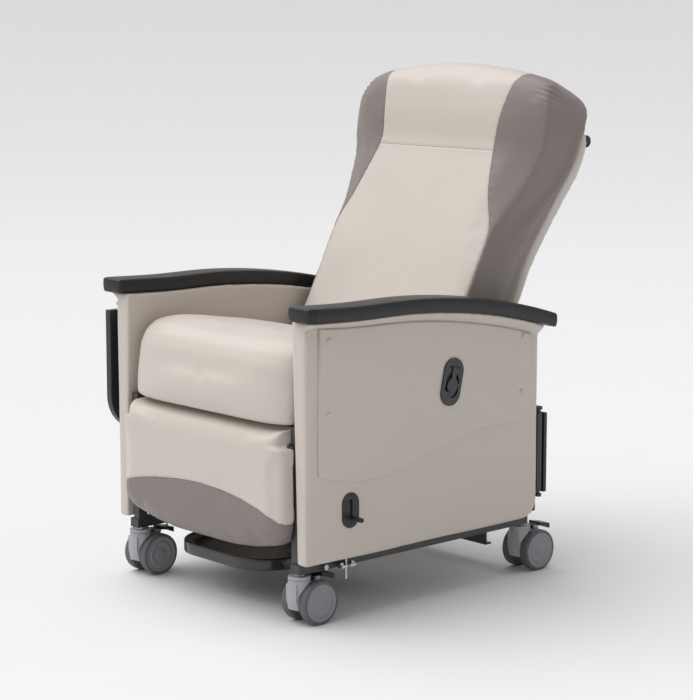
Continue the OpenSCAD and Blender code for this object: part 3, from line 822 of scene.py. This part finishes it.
# Hardware
# CAD pieces that get softened edges: piece, node, edge width, finish, body, slot
SOFTENED = (
    ("side_tray_board", "side_tray", 2.5, "tray_black", "side_tray", "tray_black"),
    ("hinge_cover_skin_left", "hinge_cover_left", 3.0, "plastic_black", "base", "black_plastic"),
    ("hinge_cover_skin_right", "hinge_cover_right", 3.0, "plastic_black", "base", "black_plastic"),
    ("latch_bezel_left", "latch_plate_left", 0.9, "plastic_black", "arm_left", "black_plastic"),
    ("latch_bezel_right", "latch_plate_right", 0.9, "plastic_black", "arm_right", "black_plastic"),
    ("handle_bezel", "recline_bezel", 1.0, "plastic_gloss", "arm_left", "black_plastic"),
    ("handle_paddle", "recline_paddle", 1.0, "plastic_gloss", "recline_handle", "black_plastic"),
    *[("caster_body_skin_%d" % n, "caster_body_%d" % n, 1.2, "caster_grey", "caster_%d" % n, "caster_grey")
      for n in range(1, 5)],
    ("side_rail_left", "side_frame_left", 1.2, "frame_paint", "base", "frame_paint"),
    ("side_rail_right", "side_frame_right", 1.2, "frame_paint", "base", "frame_paint"),
)
# Finish of each material slot of the CAD pieces that stay
NODE_FINISH = {"frame_paint": "frame_paint", "steel": "steel", "black_plastic": "plastic_black",
               "armrest_urethane": "urethane", "vinyl_light": "vinyl_light", "vinyl_taupe": "vinyl_taupe",
               "plywood": "plywood", "caster_grey": "caster_grey", "wheel_grey": "wheel_grey",
               "tray_black": "tray_black"}


# Section of the foot tray's rim: inset, height
TRAY_RIM = ((9, 90), (3, 87.6), (0.6, 88.6), (0, 91), (0, 112.5), (0.7, 115), (2.4, 116), (5, 115.6),
            (7, 112.6), (11, 112))


def build_foot_tray():
    corner = [(78 + 96 * math.cos(t), -262 - 104 * math.sin(t)) for t in np.radians(np.arange(0, 91, 6))]
    half = [(174, 20), (174, -120), *corner]
    outline = np.array(half + [(-x, y) for x, y in half[::-1]])
    middle = np.array([0, -170])
    rings = []
    for inset, z in TRAY_RIM:
        scale = 1 - inset / np.array([174, 190])
        rings.append([(x, y, z) for x, y in middle + (outline - middle) * scale])
    parts = [loft("tray_dish", rings[::-1], "tray_gloss")]
    for side in (1, -1):
        low = sorted((side * 158, side * 161))
        lip = sorted((side * 150, side * 161))
        parts.append(block("tray_hanger", [(-60, 111), (0, 111), (0, 136), (-60, 136)], *low, "yzx"))
        parts.append(block("tray_runner", [(-60, 133.5), (0, 133.5), (0, 136), (-60, 136)], *lip, "yzx"))
    for part in parts[1:]:
        paint(part, ["tray_gloss"], np.zeros(len(part.data.polygons)))
    place(join("foot_tray_dish", parts), "foot_tray", "tray_black", "foot_tray")


# Dark floor of the latch's slot, and the grip on its lever
def build_latch(side, label):
    y, slot_z, lever_z = -248, 252.5, 235
    corners = ((-4.4, -23), (4.4, -23), (4.4, 23), (-4.4, 23))
    recess = [[(side * x, y + dy, slot_z + dz) for dy, dz in corners] for x in (343.2, 344.7)]
    place(loft("latch_recess_" + label, recess, "plastic_black"), "arm_" + label, "black_plastic")
    grip = [(352, 4.0), (352.2, 5.2), (354, 5.6), (383, 5.6), (384.4, 5.0), (384.8, 3.0), (384.8, 0.2)]
    sleeve = turned("latch_grip_" + label, [(side * x, r) for x, r in grip], y, lever_z, "plastic_black", 32)
    place(sleeve, "latch_" + label, "black_plastic")


# Places of the casters, and the profiles of a wheel: distance from the caster's middle, radius
STEM_X, STEM_Y, CASTER_TRAIL, WHEEL_R = 294, 355.5, 31, 50
TREAD = ((18.9, 30), (18.9, 47), (20.4, 49.4), (23, 50), (37, 50), (39.6, 49.4), (41, 47),
         (41, 43.5), (39.6, 43))
DISC = ((39.4, 43.6), (40.9, 42.6), (41, 36.5), (40.2, 35.8), (40.2, 33.4), (41, 32.6), (41, 25),
        (40, 23.4), (39.6, 14), (40.6, 12.6), (41, 9), (41, 0.3))


def build_wheels(n):
    stem = STEM_X if n % 2 else -STEM_X
    y = (-STEM_Y if n < 3 else STEM_Y) + CASTER_TRAIL
    parts = []
    for side in (1, -1):
        for label, profile, material in (("tread", TREAD, "wheel_tread"), ("disc", DISC, "wheel_grey")):
            parts.append(turned(label, [(stem + side * x, r) for x, r in profile], y, WHEEL_R, material))
    obj = join("wheels_%d_pair" % n, parts)
    obj.data.polygons.foreach_set("use_smooth", [True] * len(obj.data.polygons))
    modify(obj, "EDGE_SPLIT", split_angle=math.radians(50))
    place(obj, "wheels_%d" % n, "wheel_grey", "twin_wheels_%d" % n)


# Finishes: name, two colours that are mixed, roughness, and what else the finish needs
FINISHES = (
    ("vinyl_light", (0.63, 0.57, 0.52), (0.60, 0.54, 0.485), 0.44,
     {"grain": 900, "cells": True, "bump": 0.10, "sheen": 0.08}),
    ("vinyl_taupe", (0.235, 0.199, 0.186), (0.215, 0.181, 0.169), 0.44,
     {"grain": 900, "cells": True, "bump": 0.10, "sheen": 0.1}),
    ("urethane", (0.008, 0.0075, 0.008), (0.011, 0.0105, 0.011), 0.44, {"grain": 1400, "bump": 0.08}),
    ("frame_paint", (0.045, 0.044, 0.046), (0.055, 0.053, 0.055), 0.42, {"grain": 420, "bump": 0.10}),
    ("plastic_black", (0.014, 0.014, 0.015), (0.02, 0.02, 0.021), 0.42, {"grain": 1600, "bump": 0.12}),
    ("plastic_gloss", (0.010, 0.010, 0.011), (0.014, 0.014, 0.015), 0.24,
     {"grain": 300, "bump": 0.03, "coat": 0.3}),
    ("tray_black", (0.016, 0.016, 0.018), (0.022, 0.022, 0.024), 0.36, {"grain": 1200, "bump": 0.10}),
    ("tray_gloss", (0.016, 0.017, 0.019), (0.022, 0.023, 0.025), 0.18,
     {"grain": 500, "bump": 0.03, "coat": 0.4}),
    ("steel", (0.56, 0.56, 0.57), (0.46, 0.46, 0.47), 0.3,
     {"metal": 1.0, "grain": 260, "bump": 0.05, "streak": (1, 6, 6)}),
    ("caster_grey", (0.40, 0.41, 0.43), (0.36, 0.37, 0.39), 0.45, {"grain": 1300, "bump": 0.08}),
    ("wheel_grey", (0.27, 0.28, 0.30), (0.24, 0.25, 0.27), 0.42, {"grain": 1200, "bump": 0.06}),
    ("wheel_tread", (0.12, 0.125, 0.135), (0.10, 0.105, 0.115), 0.6, {"grain": 700, "bump": 0.12}),
    ("plywood", (0.50, 0.33, 0.17), (0.36, 0.22, 0.10), 0.6,
     {"grain": 300, "bump": 0.1, "streak": (1, 8, 8), "wood": True}),
    # Stitches along the seams; their dark colour is painted shade, standing in for the shade in the seam's
    # crease
    ("thread_dark", (0.17, 0.15, 0.14), (0.13, 0.115, 0.105), 0.6, {"grain": 2200, "bump": 0.2}),
)


# Settings and operators
class RECLINER_PG_settings(bpy.types.PropertyGroup):
    stitch_spacing: bpy.props.FloatProperty(name="Stitch spacing", description="Distance between stitches",
                                            default=0.0042, subtype="DISTANCE", unit="LENGTH")
    key_level: bpy.props.FloatProperty(name="Key light", description="Strength of the large soft light",
                                       default=2.4, subtype="FACTOR")
    box_power: bpy.props.FloatProperty(name="Light boxes", description="Power of each small soft box",
                                       default=14.0, subtype="POWER", unit="POWER")
    fill_level: bpy.props.FloatProperty(name="Fill level", description="Strength of the even light all around",
                                        default=0.42, subtype="FACTOR")


class RECLINER_OT_finishes(bpy.types.Operator):
    """Make the vinyl, urethane, paint, plastic and wheel finishes"""
    bl_idname = "recliner.finishes"
    bl_label = "Finishes"

    def execute(self, context):
        for name, base, alt, rough, more in FINISHES:
            finish(name, base, alt, rough, **more)
        slots = {s["node"]: s["material_slot"] for s in frame["record"]["subparts"]}
        for name, obj in frame["nodes"].items():
            for slot in obj.material_slots:
                slot.material = MATERIALS[NODE_FINISH[slots[name]]]
        return {"FINISHED"}


class RECLINER_OT_seat(bpy.types.Operator):
    """Build the seat pad and the leg rest pad with its two-tone seam"""
    bl_idname = "recliner.seat"
    bl_label = "Seat and leg rest"

    def execute(self, context):
        build_seat()
        line = build_legrest()
        # Stitches longer than their spacing join into a thin dark line along the seam, painted shade of its
        # crease
        item = stitch_item(4.6, 0.55)
        spacing = context.scene.recliner.stitch_spacing
        place(repeat("legrest_seam", [line], item, "thread_dark", spacing), "legrest", "vinyl_taupe")
        drop(item)
        return {"FINISHED"}


class RECLINER_OT_back(bpy.types.Operator):
    """Build the back pad with its wings, its seams and the rear shell"""
    bl_idname = "recliner.back"
    bl_label = "Back"

    def execute(self, context):
        lines = build_back()
        build_back_shell()
        # Stitches longer than their spacing join into thin dark lines along the seams, painted shade of their
        # creases
        item = stitch_item(4.6, 0.55)
        spacing = context.scene.recliner.stitch_spacing
        place(repeat("back_seams", lines, item, "thread_dark", spacing), "back", "vinyl_taupe")
        drop(item)
        return {"FINISHED"}


class RECLINER_OT_arms(bpy.types.Operator):
    """Build both upholstered arms, their side covers, armrests and cover caps"""
    bl_idname = "recliner.arms"
    bl_label = "Arms"

    def execute(self, context):
        spots = [(-315, 639), (304, 589), (299, 455), (-318, 475)]
        for side, label in ((1, "left"), (-1, "right")):
            build_arm_panel(side)
            build_side_cover(side)
            build_armrest(side)
            item = cap_item(7.5, 4.6, 0.1)
            points = [(side * 349.2, y, z) for y, z in spots]
            facing = (float(side), 0.0, 0.0)
            caps = repeat("cover_caps_" + label, [points], item, "vinyl_light", facing=facing)
            place(caps, "arm_" + label, "vinyl_light", "cover_screws_" + label)
            drop(item)
        return {"FINISHED"}


class RECLINER_OT_hardware(bpy.types.Operator):
    """Build the frame, trays, handles, covers and casters"""
    bl_idname = "recliner.hardware"
    bl_label = "Frame, trays, handles and casters"

    def execute(self, context):
        for name, node, width, material, body, slot in SOFTENED:
            place(softened(name, node, width, material), body, slot, node)
        for side, label in ((1, "left"), (-1, "right")):
            build_latch(side, label)
        rim = [(349.45, 0.2), (349.45, 21), (349.85, 21), (349.85, 0.2)]
        well = turned("handle_well", rim, 62, 507, "plastic_black", 40)
        place(well, "arm_left", "black_plastic")
        build_foot_tray()
        for n in range(1, 5):
            build_wheels(n)
        return {"FINISHED"}


class RECLINER_OT_stage(bpy.types.Operator):
    """Set up the pale floor, the soft lights, the surroundings and the camera"""
    bl_idname = "recliner.stage"
    bl_label = "Stage"

    def execute(self, context):
        scene = context.scene
        settings = scene.recliner
        lens = bpy.data.cameras.new("camera")
        camera = link("camera", lens)
        lens.lens = 111.132
        lens.sensor_width = 36
        lens.clip_end = 200
        camera.location = world([(3827.5, -3403.4, 1363.5)])[0]
        camera.rotation_euler = (math.radians(90 - 9.0655), 0, math.radians(47.928))
        scene.camera = camera
        # The floor sweeps up into a backdrop far behind the chair
        away, along = np.array([-0.742, 0.670]), np.array([0.670, 0.742])
        sweep = [(-16, 0), (-8, 0), (0, 0), (4.5, 0), (9, 0)]
        sweep += [(9 + 9 * math.sin(t), 9 - 9 * math.cos(t)) for t in np.radians(np.arange(6, 79, 6))]
        sweep += [(18.5, 16)]
        rings = [[(*(away * d + along * w) * 1000, h * 1000) for d, h in sweep] for w in (-30, 30)]
        k = len(sweep)
        floor = make("floor", rings[0] + rings[1], [(i, i + 1, k + i + 1, k + i) for i in range(k - 1)])
        finish("floor_paper", (0.80, 0.80, 0.80), (0.79, 0.79, 0.79), 0.8, grain=40, bump=0.02)
        floor.data.materials.append(MATERIALS["floor_paper"])
        sun = bpy.data.lights.new("key_light", "SUN")
        sun.energy = settings.key_level
        sun.angle = math.radians(70)
        key = link("key_light", sun)
        key.rotation_euler = Vector((0.38, 0.24, -0.89)).to_track_quat("-Z", "Y").to_euler()
        for name, spot, aim, size, power in (
                ("front_box", (600, -4300, 2600), (0, 0, 600), 1.6, settings.box_power),
                ("rear_box", (1500, 3200, 3000), (0, 300, 800), 1.6, settings.box_power * 0.5)):
            data = bpy.data.lights.new(name, "AREA")
            data.shape = "SQUARE"
            data.size = size
            data.energy = power
            lamp = link(name, data)
            lamp.location = world([spot])[0]
            to = Vector(world([aim])[0]) - lamp.location
            lamp.rotation_euler = to.to_track_quat("-Z", "Y").to_euler()
        surroundings = bpy.data.worlds.new("surroundings")
        surroundings.use_nodes = True
        back = surroundings.node_tree.nodes["Background"]
        back.inputs["Color"].default_value = (1.0, 1.0, 1.0, 1)
        back.inputs["Strength"].default_value = settings.fill_level
        scene.world = surroundings
        scene.view_settings.view_transform = "Standard"
        return {"FINISHED"}


class RECLINER_PT_panel(bpy.types.Panel):
    bl_idname = "RECLINER_PT_panel"
    bl_label = "Recliner"
    bl_space_type = "VIEW_3D"
    bl_region_type = "UI"
    bl_category = "Recliner"

    def draw(self, context):
        for item in OPERATORS:
            self.layout.operator(item.bl_idname)
        for name in ("stitch_spacing", "key_level", "box_power", "fill_level"):
            self.layout.prop(context.scene.recliner, name)


OPERATORS = (RECLINER_OT_finishes, RECLINER_OT_seat, RECLINER_OT_back, RECLINER_OT_arms, RECLINER_OT_hardware,
             RECLINER_OT_stage)
CLASSES = (RECLINER_PG_settings, *OPERATORS, RECLINER_PT_panel)


def register():
    for item in CLASSES:
        bpy.utils.register_class(item)
    bpy.types.Scene.recliner = bpy.props.PointerProperty(type=RECLINER_PG_settings)


def unregister():
    del bpy.types.Scene.recliner
    for item in reversed(CLASSES):
        bpy.utils.unregister_class(item)


def main():
    register()
    for item in OPERATORS:
        group, name = item.bl_idname.split(".")
        getattr(getattr(bpy.ops, group), name)()


if __name__ == "__main__":
    main()
